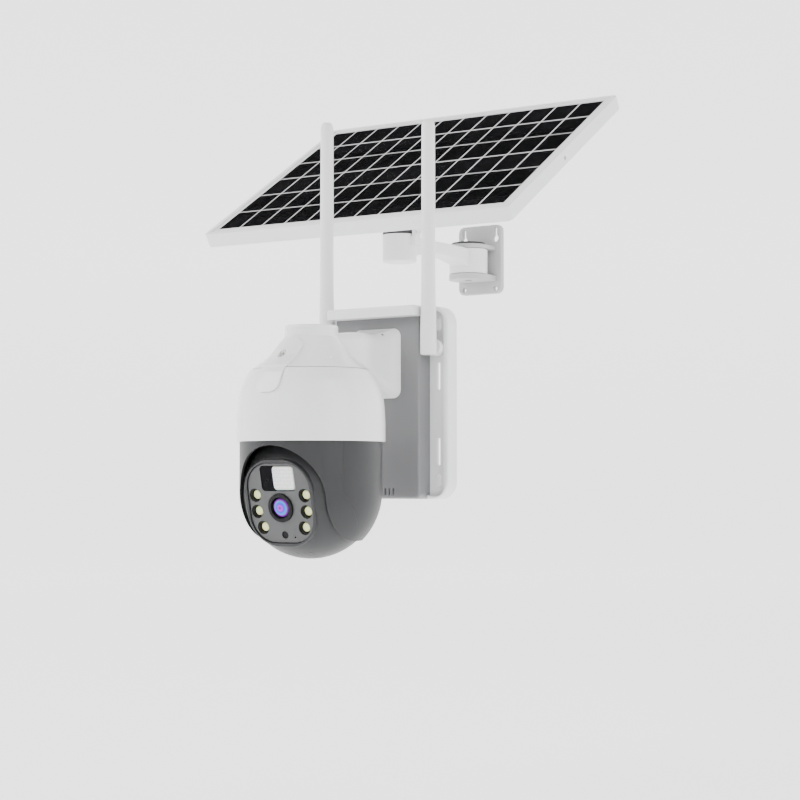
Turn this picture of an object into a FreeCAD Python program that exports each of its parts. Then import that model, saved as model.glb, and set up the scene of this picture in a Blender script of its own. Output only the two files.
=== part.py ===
# Solar-powered pan and tilt security camera with its solar panel on a swivel bracket.
# Millimetres. +Z is up, the camera looks towards -Y, and +X is on the right seen from the front.
# The origin is the middle of the battery box's back face, which lies on the plane Y = 0.
import FreeCAD, Part
import math
import os

V = FreeCAD.Vector
os.makedirs("parts", exist_ok=True)

# Battery box
box_w = 122.0          # width over both flanges
box_h = 153.0          # height
box_corner = 14.5      # corner radius seen from the front
flange_d = 13.2        # depth of the flange rim from the wall
floor_d = 9.0          # depth of the channel floor from the wall
front_w = 82.6         # width of the raised front cover
wall = 2.2             # moulded wall thickness
cell_room = 19.6       # clear depth for the cells between the two walls
front_d = cell_room + 2 * wall   # depth of the raised front cover from the wall
rim_w = 4.0            # width of the flange rim beside the channel
screw_slot_x = 49.7    # screw slots and strap slots from the middle
screw_slot_z = 62.0
screw_slot_w = 4.6
screw_slot_l = 10.0
strap_slot_w = 2.9
strap_slot_l = 22.0
strap_slot_z = (20.9, -38.9)
post_x = 34.3          # screw posts that join the two halves of the box
post_z = (-68.8, 6.5, 68.8)
cell_r = 9.15          # 18650 cell
cell_l = 65.0
cell_pitch = 18.6
cell_y = -(wall + cell_room / 2 + 0.4)

# Antennas
ant_x = 50.2
ant_y = -24.4
ant_hinge_z = 43.2
ant_bottom_z = 37.0
ant_top_z = 223.5
ant_left_extra = 9.0
ant_base_r = 6.7
ant_low_r = 6.5
ant_high_r = 5.3

# Pan and tilt head
dome_y = -109.5        # pan axis in front of the wall
ball_z = -69.3         # height of the tilt axis
ball_r = 54.3          # outside radius of the grey rotor
rotor_t = 2.3          # rotor shell thickness
cap_r = 56.6           # outside radius of the white cap
cap_t = 2.0
rim_z = -32.4          # lower edge of the cap
seam_z = 22.4          # where the neck sits on the cap
collar_r = 20.5
collar_z = 52.6
collar_top_z = 56.2
base_post_r = 39.6     # screw posts that carry the pan base
rotor_top_z = -12.3
deck_t = 2.4
module_half = 37.3     # half width of the tilting lens unit
module_gap = 0.35
opening_half = 39.0
arch_z = -5.4          # centre of the opening's round top, from the tilt axis
face_d = 41.9          # front of the lens unit, from the tilt axis
bezel_r = 33.3         # half height of the rim round the face plate
bezel_half = 31.2
bezel_round = 26.0
plate_r = 30.3
plate_half = 28.2
plate_round = 20.0
pir_x = 4.9
lens_z = -3.5
lens_r = 10.85
pir_z = 18.8
pan_rest = 3.0         # degrees, the pose the pan axis is built in
tilt_rest = 13.0       # degrees below level
led_spots = ((22.3, 5.8), (22.3, -6.6), (18.7, -18.9))

# Solar panel and bracket
panel_l = 320.0
panel_w = 250.0
panel_t = 13.0
panel_tilt = 32.0
swivel_rest = 2.6
swivel_x = -104.0
swivel_y = 273.0
panel_wall_y = 298.3
plate_w = 49.5
plate_h = 67.5
plate_t = 5.0
plate_z = 154.4
arm_l = 124.9
arm_half = 9.5
barrel_r = 18.5
barrel_z0 = 138.2
barrel_z1 = 162.4
head_r = 15.6
head_z0 = 137.1
head_z1 = 162.2
hinge_z = 185.0
panel_fwd = 27.1       # panel centre behind the head axis
panel_cz = 219.6       # height of the middle of the panel's underside
cell_cols = 12
cell_rows = 6

run_gap = 0.05         # radial clearance of a running fit


def block(x0, x1, y0, y1, z0, z1):
    return Part.makeBox(x1 - x0, y1 - y0, z1 - z0, V(x0, y0, z0))


def rod(r, p, d, length):
    return Part.makeCylinder(r, length, V(*p), V(*d))


def outline(half_x, z0, z1, r, y=0.0):
    # Rounded rectangle in a plane of constant y, as a wire
    x0, x1 = -half_x, half_x
    k = r * (1.0 - math.sqrt(0.5))
    e = []
    e.append(Part.makeLine(V(x0 + r, y, z0), V(x1 - r, y, z0)))
    e.append(Part.Arc(V(x1 - r, y, z0), V(x1 - k, y, z0 + k), V(x1, y, z0 + r)).toShape())
    e.append(Part.makeLine(V(x1, y, z0 + r), V(x1, y, z1 - r)))
    e.append(Part.Arc(V(x1, y, z1 - r), V(x1 - k, y, z1 - k), V(x1 - r, y, z1)).toShape())
    e.append(Part.makeLine(V(x1 - r, y, z1), V(x0 + r, y, z1)))
    e.append(Part.Arc(V(x0 + r, y, z1), V(x0 + k, y, z1 - k), V(x0, y, z1 - r)).toShape())
    e.append(Part.makeLine(V(x0, y, z1 - r), V(x0, y, z0 + r)))
    e.append(Part.Arc(V(x0, y, z0 + r), V(x0 + k, y, z0 + k), V(x0 + r, y, z0)).toShape())
    return Part.Wire(e)


def rounded(half_x, z0, z1, r, y0, y1, cx=0.0):
    # Prism along Y with a rounded rectangle for its section
    s = Part.Face(outline(half_x, z0, z1, r, y0)).extrude(V(0, y1 - y0, 0))
    s.translate(V(cx, 0, 0))
    return s


def fuse(shapes):
    s = shapes[0]
    if len(shapes) > 1:
        s = s.multiFuse(shapes[1:])
    return s.removeSplitter()


def cut(shape, tools):
    for t in tools:
        shape = shape.cut(t)
    return shape


def soften(shape, radius, pick):
    # Fillets the edges that pick(edge) chooses, one by one where all together won't go
    edges = [e for e in shape.Edges if pick(e)]
    if not edges:
        return shape
    try:
        s = shape.makeFillet(radius, edges)
        if s.isValid() and s.Volume > 0:
            return s
    except Exception:
        pass
    return shape


def edge_at(axis, value, tol=0.05):
    # Edges that lie wholly in the plane axis = value
    def pick(e):
        b = e.BoundBox
        lo = (b.XMin, b.YMin, b.ZMin)[axis]
        hi = (b.XMax, b.YMax, b.ZMax)[axis]
        return abs(lo - value) < tol and abs(hi - value) < tol
    return pick


def spun(points, axis_y, smooth=()):
    # Revolves a closed profile of (radius, z) points about the vertical axis at axis_y
    pts = [V(r, axis_y, z) for r, z in points]
    edges = []
    i = 0
    n = len(pts)
    spans = dict(smooth)
    while i < n:
        j = spans.get(i, i + 1)
        if j - i > 1:
            c = Part.BSplineCurve()
            c.interpolate(pts[i:j + 1])
            edges.append(c.toShape())
        else:
            edges.append(Part.makeLine(pts[i], pts[(i + 1) % n]))
        i = j
    f = Part.Face(Part.Wire(edges))
    return f.revolve(V(0, axis_y, 0), V(0, 0, 1), 360)


def solid(shape):
    # One clean solid, or a compound of solids where the piece is a group
    if shape.ShapeType == "Compound" and len(shape.Solids) == 1:
        return shape.Solids[0]
    return shape


def save(name, shape):
    shape = solid(shape)
    bad = [s for s in shape.Solids if not s.isValid()]
    print(name, len(shape.Solids), "solids", "INVALID" if bad else "", round(shape.Volume, 1))
    shape.exportStep("parts/" + name + ".step")


def post_spots():
    return [(sx * post_x, z) for sx in (-1, 1) for z in post_z]


def box_back():
    s = rounded(box_w / 2, -box_h / 2, box_h / 2, box_corner, -flange_d, 0)
    s = soften(s, 1.6, edge_at(1, -flange_d))
    fw = front_w / 2 + 0.15
    ch_x = box_w / 2 - rim_w
    mid = (fw - 4 + ch_x) / 2
    tools = [block(-fw, fw, -flange_d - 1, -floor_d, -box_h, box_h)]
    for sx in (-1, 1):
        tools.append(rounded((ch_x - fw + 4) / 2, -74.0, 72.0, 7.0, -flange_d - 1, -floor_d, sx * mid))
    tools.append(block(-38.2, 38.2, -floor_d - 1, -wall, -72.5, 72.5))
    ring = rounded(40.9, -75.2, 75.2, 3.0, -floor_d - 1, -floor_d + 1.3)
    ring = ring.cut(rounded(39.7, -74.0, 74.0, 2.0, -floor_d - 1, -floor_d + 1.3))
    tools.append(ring)
    for sx in (-1, 1):
        x0, x1 = sorted((sx * 42.6, sx * (box_w / 2 - 2.4)))
        tools.append(block(x0, x1, -floor_d + 2.2, 1, -54, 55))
        for sz in (-1, 1):
            tools.append(rounded(screw_slot_w / 2, sz * screw_slot_z - screw_slot_l / 2,
                                 sz * screw_slot_z + screw_slot_l / 2, screw_slot_w / 2 - 0.01,
                                 -floor_d - 1, 1, sx * screw_slot_x))
        for z in strap_slot_z:
            tools.append(rounded(strap_slot_w / 2, z - strap_slot_l / 2, z + strap_slot_l / 2,
                                 strap_slot_w / 2 - 0.01, -floor_d - 1, 1, sx * screw_slot_x))
        tools.append(rod(3.1, (sx * ant_x, -floor_d - 1, ant_hinge_z), (0, 1, 0), 5))
    tools.append(rod(3.0 + run_gap, (-22.0, -floor_d / 2, -box_h / 2 - 1), (0, 0, 1), 6))
    s = cut(s, tools)
    pads = [rod(3.7, (x, -5.0, z), (0, 1, 0), 5.0 - wall + 0.3) for x, z in post_spots()]
    for x, z in ((30.0, 16.0), (-30.0, 16.0), (30.0, 60.0), (-30.0, 60.0)):
        pads.append(rod(2.0, (x, -4.4, z), (0, 1, 0), 4.4 - wall + 0.3))
    s = fuse([s] + pads)
    for x, z in post_spots():
        s = s.cut(rod(1.65, (x, -6, z), (0, 1, 0), 7))
        s = s.cut(rod(3.0, (x, -2.3, z), (0, 1, 0), 3))
    return s


def box_front():
    hz = box_h / 2 - 0.4
    s = rounded(front_w / 2, -hz, hz, 5.0, -front_d, -floor_d)
    s = soften(s, 2.2, edge_at(1, -front_d))
    s = s.cut(rounded(front_w / 2 - wall, -hz + wall, hz - wall, 3.0, -front_d + wall, -floor_d + 1))
    posts = [rod(3.2, (x, -front_d + wall - 0.3, z), (0, 1, 0), front_d - wall + 0.3 - 5.0) for x, z in post_spots()]
    s = fuse([s] + posts)
    for x, z in post_spots():
        s = s.cut(rod(1.55, (x, -16, z), (0, 1, 0), 12))
    for x, z in arm_screw_spots():
        s = s.cut(rod(1.6, (x, -front_d - 1, z), (0, 1, 0), 5))
    for i in range(3):
        s = s.cut(rounded(0.75, -73.2, -67.6, 0.7, -front_d - 1, -front_d + 1.1, 8.4 + i * 3.9))
    s = s.cut(rod(8.0, (0, -front_d - 1, 40.0), (0, 1, 0), 5))
    return s


def arm_screw_spots():
    return [(sx * 12.6, z) for sx in (-1, 1) for z in (20.0, 53.0)]


def box_gasket():
    ring = rounded(40.85, -75.15, 75.15, 3.0, -floor_d, -floor_d + 1.2)
    return ring.cut(rounded(39.75, -74.05, 74.05, 2.0, -floor_d - 1, -floor_d + 2))


def screws_y(spots, y_head, head_r, head_t, shank_r, length):
    # Screws driven towards -Y, the outer face of the head at y_head
    out = []
    for x, z in spots:
        s = rod(head_r, (x, y_head - head_t, z), (0, 1, 0), head_t)
        s = s.fuse(rod(shank_r, (x, y_head - head_t - length, z), (0, 1, 0), length + 0.1))
        for a in (0, 90):
            b = block(-head_r * 0.62, head_r * 0.62, y_head - head_t * 0.55, y_head + 1, -0.35, 0.35)
            b.rotate(V(0, 0, 0), V(0, 1, 0), a)
            b.translate(V(x, 0, z))
            s = s.cut(b)
        out.append(s.removeSplitter())
    return Part.makeCompound(out)


def visor():
    s = block(-43.0, 43.0, -35.0, -front_d, 68.0, 76.3)
    s = soften(s, 3.0, lambda e: abs(e.BoundBox.XMax - e.BoundBox.XMin) < 0.1 and e.BoundBox.YMax < -34.9
               and abs(e.BoundBox.ZMax - e.BoundBox.ZMin) > 5)
    s = soften(s, 1.5, lambda e: e.BoundBox.ZMin > 76.2 and e.BoundBox.YMax < -front_d - 0.1)
    s = s.cut(block(-40.8, 40.8, -33.0, -front_d - 2.2, 60.0, 74.1))
    return s


def battery_cells():
    out = []
    for i in range(4):
        x = (i - 1.5) * cell_pitch
        c = rod(cell_r, (x, cell_y, -63.8), (0, 0, 1), cell_l - 1.2)
        c = soften(c, 0.8, lambda e: True)
        nub = rod(2.8, (x, cell_y, -63.8 + cell_l - 1.3), (0, 0, 1), 1.3)
        out.append(c.fuse(nub))
    return Part.makeCompound(out)


def battery_holder():
    parts = [block(-37.9, 37.9, -3.2, -wall, -65.0, 2.4)]
    parts.append(block(-30.2, 30.2, -20.6, -wall, -65.0, -63.9))
    parts.append(block(-30.2, 30.2, -20.6, -wall, 1.3, 2.4))
    return fuse(parts)


def power_board():
    parts = [block(-35.5, 35.5, -6.0, -4.4, 12.5, 64.0)]
    parts.append(block(-24.0, 2.0, -8.6, -5.9, 30.0, 58.0))
    parts.append(block(10.0, 22.0, -7.6, -5.9, 22.0, 34.0))
    parts.append(block(24.0, 33.0, -13.0, -5.9, 38.0, 50.0))
    parts.append(rod(4.0, (14.0, -6.0, 50.0), (0, -1, 0), 10.0))
    return fuse(parts)


def solar_inlet():
    # Panel socket for the solar lead, flanged against the underside of the box
    x, y, z = -22.0, -floor_d / 2, -box_h / 2
    s = rod(4.3, (x, y, z - 2.4), (0, 0, 1), 2.4)
    s = soften(s, 0.5, edge_at(2, z - 2.4))
    s = s.fuse(rod(3.0, (x, y, z - 0.1), (0, 0, 1), 4.6))
    s = s.cut(rod(2.0, (x, y, z - 3), (0, 0, 1), 5.4))
    s = s.fuse(rod(0.7, (x, y, z - 1.6), (0, 0, 1), 4.2))
    return s.removeSplitter()


def antenna_base(sx):
    x, z = sx * ant_x, ant_hinge_z
    s = rod(ant_base_r, (x, -17.4, z), (0, 1, 0), 17.4 - floor_d)
    s = soften(s, 1.0, edge_at(1, -17.4))
    s = s.fuse(rod(3.0, (x, -9.1, z), (0, 1, 0), 5.6))
    s = s.fuse(rod(2.0, (x, -28.0, z), (0, 1, 0), 11.0))
    return s.removeSplitter()


def antenna(sx):
    x = sx * ant_x
    top = ant_top_z + (ant_left_extra if sx < 0 else 0.0)
    pts = [(0, ant_bottom_z), (ant_low_r - 1.0, ant_bottom_z), (ant_low_r, ant_bottom_z + 1.0),
           (ant_low_r, ant_bottom_z + 16), (ant_high_r + 0.35, 95.0), (ant_high_r, top - 6),
           (ant_high_r - 0.5, top - 2.6), (ant_high_r - 2.2, top - 0.6), (0, top)]
    s = spun(pts, 0.0)
    s.translate(V(x, ant_y, 0))
    s = s.cut(rod(2.0 + run_gap, (x, -28.3, ant_hinge_z), (0, 1, 0), 20))
    return s


def cap_profile():
    return [(45.4, 22.3), (48.7, 18.7), (51.4, 13.6), (53.1, 9.0), (54.9, 2.0), (56.0, -7.2), (cap_r, -18.0)]


def dome_cap():
    o = cap_profile()
    q = cap_r - cap_t
    i = [(q - 8.0, 18.7), (q - 5.4, 13.2), (q - 3.3, 8.6), (q - 1.4, 1.6), (q - 0.3, -5.0), (q, -11.0)]
    pts = [(13.0, 20.1), (13.0, seam_z - 0.1), (45.2, seam_z - 0.1)] + o + [(cap_r, rim_z + 0.6),
           (cap_r - 0.6, rim_z), (cap_r - cap_t, rim_z)] + list(reversed(i)) + [(44.6, 20.1)]
    a = 2
    b = 2 + len(o)
    s = spun(pts, dome_y, ((a, b),))
    posts = []
    for k in range(3):
        t = math.radians(30 + 120 * k)
        posts.append(rod(3.6, (base_post_r * math.cos(t), dome_y + base_post_r * math.sin(t), 4.2), (0, 0, 1), 16.2))
    s = fuse([s] + posts)
    for k in range(3):
        t = math.radians(30 + 120 * k)
        s = s.cut(rod(1.3, (base_post_r * math.cos(t), dome_y + base_post_r * math.sin(t), 4.0), (0, 0, 1), 10))
        t = math.radians(90 + 120 * k)
        s = s.cut(rod(1.6, (33.0 * math.cos(t), dome_y + 33.0 * math.sin(t), 18), (0, 0, 1), 6))
    return s


def neck_curve(off=0.0):
    base = [(45.6, seam_z), (42.2, 24.9), (34.7, 30.4), (26.6, 39.8), (22.6, 45.2), (collar_r, 47.6)]
    return [(r + off, z + off) for r, z in base]


def neck_arm():
    o = neck_curve()
    pts = [(0, seam_z)] + o + [(collar_r, collar_z), (0, collar_z)]
    bell = spun(pts, dome_y, ((1, len(o)),))
    sections = ((-front_d, 23.4, 3.6, 59.4), (-26.0, 20.6, 5.6, 58.2), (-29.5, 18.0, 8.2, 56.8), (-37.0, 15.8, 12.6, 55.0),
                (-72.0, 14.4, 19.8, 53.4), (dome_y, 13.5, 24.3, 52.4))
    arm = Part.makeLoft([outline(h, z0, z1, 7.0, y) for y, h, z0, z1 in sections], True)
    s = bell.fuse(arm)
    # Raised tongue down the front of the neck and over the cap
    strip = rounded(11.2, 3.4, 46.0, 8.0, dome_y - 80, dome_y)
    skin = neck_curve(1.7)
    low = [(r + 1.7, z) for r, z in reversed(cap_profile()[:5])]
    pts = [(0, 0.0)] + low + skin + [(0, 49.3)]
    core = [(0, -1.0), (cap_profile()[4][0] + 0.6, -1.0)]
    core = core + [(r + 0.45, z + 0.35) for r, z in reversed(cap_profile()[:5])] + [(44.0, seam_z), (0, seam_z)]
    tongue = spun(pts, dome_y).common(strip).cut(spun(core, dome_y))
    s = s.fuse(tongue)
    s = s.cut(spun(core, dome_y))
    hollow = [(0, seam_z - 1), (42.6, seam_z - 1), (42.6, seam_z), (39.5, 24.6), (32.4, 29.0), (24.4, 37.8), (18.5, 45.0),
              (16.0, 49.6), (0, 49.6)]
    inner = spun(hollow, dome_y)
    posts = []
    for k in range(3):
        t = math.radians(90 + 120 * k)
        p = rod(3.6, (33.0 * math.cos(t), dome_y + 33.0 * math.sin(t), seam_z), (0, 0, 1), 8.5)
        posts.append(p)
    s = s.cut(inner)
    s = s.cut(rod(8.0, (0, dome_y, 40.0), (0, 1, 0), 90))
    s = fuse([s] + posts)
    for k in range(3):
        t = math.radians(90 + 120 * k)
        s = s.cut(rod(1.3, (33.0 * math.cos(t), dome_y + 33.0 * math.sin(t), seam_z - 1), (0, 0, 1), 7.5))
    for x, z in arm_screw_spots():
        s = s.cut(rod(1.55, (x, -36, z), (0, 1, 0), 13))
    s = s.cut(rod(3.1, (0, dome_y - 60, 33.0), (0, 1, 0), 60 - 31.6))
    s = s.cut(rod(1.35, (0, dome_y - 60, 33.0), (0, 1, 0), 40))
    return s


def neck_cap():
    s = rod(collar_r, (0, dome_y, collar_z), (0, 0, 1), collar_top_z - collar_z)
    s = soften(s, 1.6, edge_at(2, collar_top_z))
    s = s.cut(rod(15.4, (0, dome_y, collar_z - 1), (0, 0, 1), 2.0))
    return s


def down_screws(spots, z_head, head_r, head_t, shank_r, length):
    # Screws driven upwards, the underside of the head's outer face at z_head
    out = []
    for x, y in spots:
        s = rod(head_r, (x, y, z_head), (0, 0, 1), head_t)
        s = s.fuse(rod(shank_r, (x, y, z_head + head_t - 0.1), (0, 0, 1), length))
        for a in (0, 90):
            b = block(-head_r * 0.62, head_r * 0.62, -0.35, 0.35, z_head - 1, z_head + head_t * 0.5)
            b.rotate(V(0, 0, 0), V(0, 0, 1), a)
            b.translate(V(x, y, 0))
            s = s.cut(b)
        out.append(s.removeSplitter())
    return Part.makeCompound(out)


def ring_spots(radius, start, count=3):
    out = []
    for k in range(count):
        t = math.radians(start + 360.0 / count * k)
        out.append((radius * math.cos(t), dome_y + radius * math.sin(t)))
    return out


def pan_base():
    s = rod(48.0, (0, dome_y, 2.0), (0, 0, 1), 2.2)
    s = s.fuse(rod(8.0, (0, dome_y, 0.0), (0, 0, 1), 7.8))
    skirt = rod(29.5, (0, dome_y, -9.6), (0, 0, 1), 11.8).cut(rod(27.4, (0, dome_y, -10), (0, 0, 1), 12.0))
    s = s.fuse(skirt)
    tools = [rod(2.5 + run_gap, (0, dome_y, -1), (0, 0, 1), 12)]
    tools += [rod(1.6, (x, y, 1), (0, 0, 1), 5) for x, y in ring_spots(base_post_r, 30)]
    tools.append(rod(4.2, (0, dome_y + 20.0, 0), (0, 0, 1), 6))
    return cut(s, tools).removeSplitter()


def pan_bearing():
    s = rod(31.4, (0, dome_y, -9.0), (0, 0, 1), 5.0)
    return s.cut(rod(29.5, (0, dome_y, -10.0), (0, 0, 1), 7.0))


def at_head(shape):
    # From the pan frame (origin on the pan axis at tilt height, facing -Y) to the model
    shape.rotate(V(0, 0, 0), V(0, 0, 1), pan_rest)
    shape.translate(V(0, dome_y, ball_z))
    return shape


def at_tilt(shape):
    shape.rotate(V(0, 0, 0), V(1, 0, 0), tilt_rest)
    return at_head(shape)


def rotor_skin():
    top = rotor_top_z - ball_z
    r0, r1 = ball_r, ball_r - rotor_t
    outer = rod(r0, (0, 0, 0), (0, 0, 1), top).fuse(Part.makeSphere(r0))
    inner = rod(r1, (0, 0, 0), (0, 0, 1), top + 1).fuse(Part.makeSphere(r1))
    return outer.cut(inner.removeSplitter()), inner


def opening():
    h = opening_half
    arch = rod(h, (0, -70, arch_z), (0, 1, 0), 70).fuse(block(-h, h, -70, 0, -70, arch_z))
    return arch.fuse(block(-h, h, -1, 70, -70, -37.8)).removeSplitter()


def front_part(grow=0.0):
    # Region of the front skin: ahead of a plane that leans back towards the bottom
    y = -26.3 + grow
    pts = [V(-70, -70, 70), V(-70, y, 70), V(-70, y, -2), V(-70, y + 22.0, -29), V(-70, y + 24, -70), V(-70, -70, -70)]
    return Part.Face(Part.makePolygon(pts + [pts[0]])).extrude(V(140, 0, 0))


def rotor_front():
    skin = rotor_skin()[0]
    s = skin.common(front_part(-0.1)).cut(opening())
    if len(s.Solids) > 1:
        # One piece: the cheeks join over the arch
        s = sorted(s.Solids, key=lambda k: -k.Volume)[0]
    return at_head(s)


def rotor_rear():
    skin, inner = rotor_skin()
    s = skin.cut(front_part()).cut(opening())
    walls = []
    for sx in (-1, 1):
        x0, x1 = sorted((sx * opening_half, sx * (opening_half + 1.6)))
        walls.append(block(x0, x1, -70, 70, -70, 41.0).common(inner))
    s = s.fuse(walls[0]).fuse(walls[1])
    lugs = []
    for x, y in deck_lugs():
        lug = rod(3.4, (x, y, 43.6), (0, 0, 1), 11.0)
        web = block(min(x, x * 1.08), max(x, x * 1.08), y - 1.5, y + 1.5, 43.6, 54.6)
        lugs += [lug, web.common(inner)]
    s = fuse([s] + lugs)
    for x, y in deck_lugs():
        s = s.cut(rod(1.3, (x, y, 47), (0, 0, 1), 9))
    s = s.cut(rod(2.8, (-60, 0, 0), (1, 0, 0), 25))
    s = s.cut(block(-60, 60, -70, 70, 54.7, 58)).fuse(skin.cut(front_part()).common(block(-60, 60, -70, 70, 54.5, 58)))
    s = s.cut(rod(3.0 + run_gap, (35, 0, 0), (1, 0, 0), 8))
    big = sorted(s.Solids, key=lambda k: -k.Volume)[0]
    return at_head(big.removeSplitter())


def deck_lugs():
    return [(sx * 46.5, sy * 16.0) for sx in (-1, 1) for sy in (-1, 1)]


def rotor_deck():
    z = rotor_top_z - ball_z
    s = rod(ball_r - rotor_t - 0.1, (0, 0, z - deck_t), (0, 0, 1), deck_t)
    ring = rod(33.6, (0, 0, z - 0.1), (0, 0, 1), 10.0).cut(rod(31.4 + run_gap, (0, 0, z - 1), (0, 0, 1), 12))
    s = s.fuse(ring)
    for x, y in ((-38, 22), (38, 22), (0, 44)):
        s = s.fuse(rod(2.0, (x, y, z - 0.1), (0, 0, 1), 1.9))
    for x, y in deck_lugs():
        s = s.cut(rod(1.6, (x, y, z - 4), (0, 0, 1), 6))
    s = s.cut(rod(4.2, (0, 20, z - 4), (0, 0, 1), 6))
    return at_head(s.removeSplitter())


def rotor_screws():
    z = rotor_top_z - ball_z
    out = []
    for x, y in deck_lugs():
        s = rod(2.7, (x, y, z), (0, 0, 1), 1.6).fuse(rod(1.25, (x, y, z - 8.5), (0, 0, 1), 8.6))
        out.append(at_head(s.removeSplitter()))
    return Part.makeCompound(out)


def pan_motor():
    z = rotor_top_z - ball_z
    s = rod(13.0, (0, 0, z), (0, 0, 1), 11.0)
    s = soften(s, 1.0, lambda e: e.BoundBox.ZMin > z + 10)
    s = s.cut(rod(4.4, (0, 20, z - 1), (0, 0, 1), 14))
    s = s.fuse(rod(2.5, (0, 0, z + 10.9), (0, 0, 1), 7.6))
    s = s.cut(rod(1.25, (0, 0, z + 13), (0, 0, 1), 6))
    return at_head(s.removeSplitter())


def hub_screw():
    z = 7.85 - ball_z
    s = rod(4.2, (0, 0, z), (0, 0, 1), 1.6).fuse(rod(1.2, (0, 0, z - 5.5), (0, 0, 1), 5.6))
    return at_head(s.removeSplitter())


def main_board():
    z = rotor_top_z - ball_z + 1.8
    ring = rod(49.0, (0, 0, z), (0, 0, 1), 1.6).cut(rod(35.2, (0, 0, z - 1), (0, 0, 1), 4))
    s = ring.common(block(-60, 60, 12, 60, z - 1, z + 4))
    s = s.fuse(block(-6, 6, 37, 47, z + 1.5, z + 3.2))
    s = s.fuse(block(28, 36, 22.5, 30.5, z + 1.5, z + 4.4))
    return at_head(s.removeSplitter())


def tilt_motor():
    x = -(opening_half + 1.6)
    s = rod(9.6, (x - 9.2, 0, 0), (1, 0, 0), 9.2)
    s = soften(s, 0.8, lambda e: e.BoundBox.XMax < x - 9)
    s = s.fuse(rod(2.5, (x - 0.1, 0, 0), (1, 0, 0), 7.6))
    return at_head(s.removeSplitter())


def tilt_pin():
    x = opening_half + 1.6
    s = rod(3.0, (x - 7.5, 0, 0), (1, 0, 0), 7.6).fuse(rod(5.5, (x, 0, 0), (1, 0, 0), 1.6))
    return at_head(s.removeSplitter())


def slab():
    r = ball_r - rotor_t - module_gap
    ball = Part.makeSphere(r)
    return ball.common(block(-module_half, module_half, -70, 70, -70, 70))


def slab_inner():
    r = ball_r - rotor_t - module_gap - 2.0
    ball = Part.makeSphere(r)
    m = module_half - 2.0
    return ball.common(block(-m, m, -37.4, 70, -70, 70))


def module_shell():
    s = slab().fuse(rounded(bezel_half, -bezel_r, bezel_r, bezel_round, -face_d, -face_d + 12))
    s = s.cut(block(-70, 70, -90, -face_d, -70, 70))
    s = soften(s, 0.9, lambda e: e.BoundBox.YMax < -face_d + 0.01)
    s = s.cut(slab_inner())
    seat = plate_r + 0.25
    s = s.cut(rounded(plate_half + 0.25, -seat, seat, plate_round + 0.25, -face_d - 1, -face_d + 3.0))
    s = s.cut(rounded(plate_half - 0.7, -plate_r + 1.4, plate_r - 1.4, plate_round - 0.9, -face_d - 1, -face_d + 8.0))
    hubs = [rod(6.0, (-module_half + 0.5, 0, 0), (1, 0, 0), 5.0), rod(6.0, (module_half - 5.5, 0, 0), (1, 0, 0), 5.0)]
    s = s.fuse(hubs[0]).fuse(hubs[1])
    s = s.cut(rod(2.5 + run_gap, (-module_half - 1, 0, 0), (1, 0, 0), 8))
    s = s.cut(rod(3.0 + run_gap, (module_half - 7, 0, 0), (1, 0, 0), 8))
    return s.removeSplitter()


def module_split():
    return block(-70, 70, 7.0, 90, -70, 70)


def module_screw_spots():
    return [(sx * 33.0, sz * 26.0) for sx in (-1, 1) for sz in (-1, 1)]


def module_bosses(y0, y1):
    return [rod(3.0, (x, y0, z), (0, 1, 0), y1 - y0) for x, z in module_screw_spots()]


def module_front():
    s = module_shell().cut(module_split())
    keep = slab()
    bosses = [b.common(keep) for b in module_bosses(-12.0, 7.0)]
    s = fuse([s] + bosses)
    for x, z in module_screw_spots():
        s = s.cut(rod(1.3, (x, -4, z), (0, 1, 0), 12))
    return at_tilt(s)


def module_rear():
    s = module_shell().common(module_split())
    keep = slab()
    bosses = [b.common(keep) for b in module_bosses(7.05, 40.0)]
    s = fuse([s] + bosses)
    for x, z in module_screw_spots():
        s = s.cut(rod(1.5, (x, 6, z), (0, 1, 0), 40))
        s = s.cut(rod(2.6, (x, 18, z), (0, 1, 0), 40))
    big = sorted(s.Solids, key=lambda k: -k.Volume)[0]
    return at_tilt(big)


def module_screws():
    out = []
    for x, z in module_screw_spots():
        s = rod(2.4, (x, 18.0, z), (0, 1, 0), 1.6).fuse(rod(1.25, (x, -2.5, z), (0, 1, 0), 20.6))
        out.append(at_tilt(s.removeSplitter()))
    return Part.makeCompound(out)


plate_back = face_d - 3.0
plate_front = face_d - 1.3


def plate_tools():
    tools = [rod(lens_r + 0.1, (0, -60, lens_z), (0, 1, 0), 40)]
    tools.append(rounded(10.0, pir_z - 9.4, pir_z + 9.4, 3.0, -60, -30, pir_x))
    tools.append(rounded(15.2, pir_z - 9.7, pir_z + 9.7, 3.2, -60, -plate_front + 0.6))
    tools.append(rod(0.6, (-9.6, -60, pir_z - 2.0), (0, 1, 0), 30))
    for sx in (-1, 1):
        for x, z in led_spots:
            tools.append(rod(5.15, (sx * x, -60, z), (0, 1, 0), 30))
    o = rod(2.9, (0, -60, 0), (0, 1, 0), 30)
    o.translate(V(0.5, 0, -24.3))
    tools.append(o)
    tools.append(rod(0.7, (9.5, -60, -26.0), (0, 1, 0), 30))
    return tools


def face_plate():
    s = rounded(plate_half, -plate_r, plate_r, plate_round, -plate_front, -plate_back)
    s = soften(s, 0.4, lambda e: e.BoundBox.YMax < -plate_front + 0.01)
    return at_tilt(cut(s, plate_tools()))


def led_board():
    s = rod(27.0, (0, -36.4, 0), (0, 1, 0), 1.4)
    s = s.cut(rod(9.3, (0, -40, lens_z), (0, 1, 0), 10))
    return at_tilt(s)


def led_cups():
    out = []
    for sx in (-1, 1):
        for x, z in led_spots:
            c = rod(4.95, (sx * x, -plate_front + 0.9, z), (0, 1, 0), plate_front - 0.9 - 36.4)
            c = c.cut(Part.makeCone(4.6, 3.6, 4.0, V(sx * x, -plate_front + 0.9, z), V(0, 1, 0)))
            out.append(at_tilt(c))
    return Part.makeCompound(out)


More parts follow.
